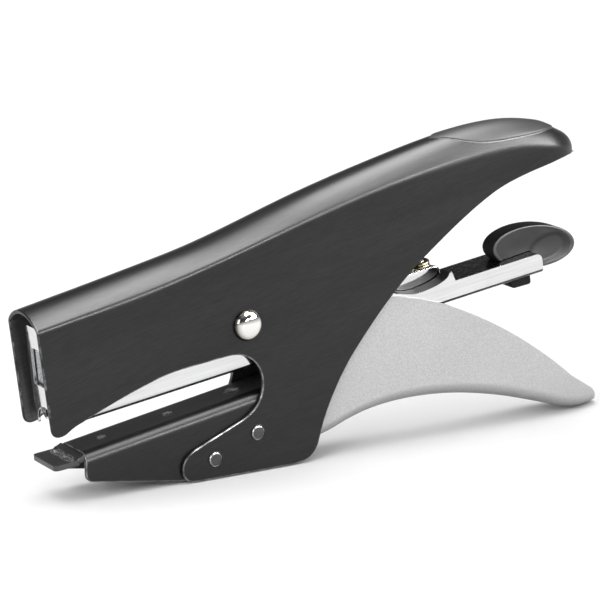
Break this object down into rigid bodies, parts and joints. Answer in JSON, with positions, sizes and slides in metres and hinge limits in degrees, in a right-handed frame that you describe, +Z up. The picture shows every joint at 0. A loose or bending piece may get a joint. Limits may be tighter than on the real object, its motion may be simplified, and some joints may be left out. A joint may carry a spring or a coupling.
{
  "type": "plier stapler",
  "caption": "Hand-squeezed plier stapler: folded black frame with fixed lower jaw and anvil, silver lever handle, swinging staple magazine and a rear pull knob.",
  "frame": {"origin": "centre of the footprint, at the level the stapler stands on (frame lobe edges and handle tip)", "axes": "+X from the jaws to the handles, +Z up, +Y to the left of someone looking along +X"},
  "size_m": [0.1686, 0.0208, 0.0794],
  "materials": {
    "black_brushed": "brushed satin black",
    "black_soft": "soft matt",
    "black_plastic": "satin moulded",
    "silver_lacquer": "fine-grained silver lacquer",
    "chrome": "bright plated",
    "steel": "plain steel",
    "brass": "bright wire"
  },
  "bodies": {
    "frame": {"frame_shell": "black_brushed", "horn_cushion": "black_soft", "spring_bracket": "steel", "lower_jaw": "black_brushed", "anvil_plate": "black_brushed", "jaw_rivet_front": "black_brushed", "jaw_rivet_rear": "black_brushed", "pivot_rivet": "chrome"},
    "handle": {"handle_shell": "silver_lacquer", "driver_pin": "steel", "handle_spring_cup": "steel", "handle_spring": "steel"},
    "magazine": {"magazine_channel": "chrome", "staple_rail": "steel", "nose_plate": "chrome", "staple_strip": "steel", "guide_block": "black_plastic", "spring_seat": "chrome", "return_spring": "brass", "rear_clip": "black_plastic"},
    "pusher": {"pusher_shoe": "black_plastic", "pusher_rod": "steel", "pusher_spring": "steel", "pusher_knob": "black_plastic"},
    "driver": {"driver_blade": "steel", "driver_carrier": "steel"}
  },
  "joints": [
    {"name": "handle_squeeze", "type": "hinge", "parent": "frame", "child": "handle", "pos_m": [-0.02713, 0, 0.0376], "axis": [0, -1, 0], "range_deg": [0, 17], "stiffness_Nm_per_rad": 3, "springref_deg": -6.88, "deforming": ["handle_spring"]},
    {"name": "magazine_swing", "type": "hinge", "parent": "frame", "child": "magazine", "pos_m": [-0.02713, 0, 0.0376], "axis": [0, -1, 0], "range_deg": [0, 8.55], "deforming": ["return_spring"]},
    {"name": "driver_stroke", "type": "slide", "parent": "magazine", "child": "driver", "axis": [0.1461, 0, -0.9893], "range_m": [0, 0.0072]},
    {"name": "pusher_slide", "type": "slide", "parent": "magazine", "child": "pusher", "axis": [0.9893, 0, 0.1461], "range_m": [0, 0.045], "stiffness_N_per_m": 40, "springref_m": -0.02, "deforming": ["pusher_spring"]}
  ],
  "couplings": [
    {"joint": "magazine_swing", "follows": "handle_squeeze", "ratio": 0.5028},
    {"joint": "driver_stroke", "follows": "handle_squeeze", "m_per_rad": 0.02409}
  ]
}
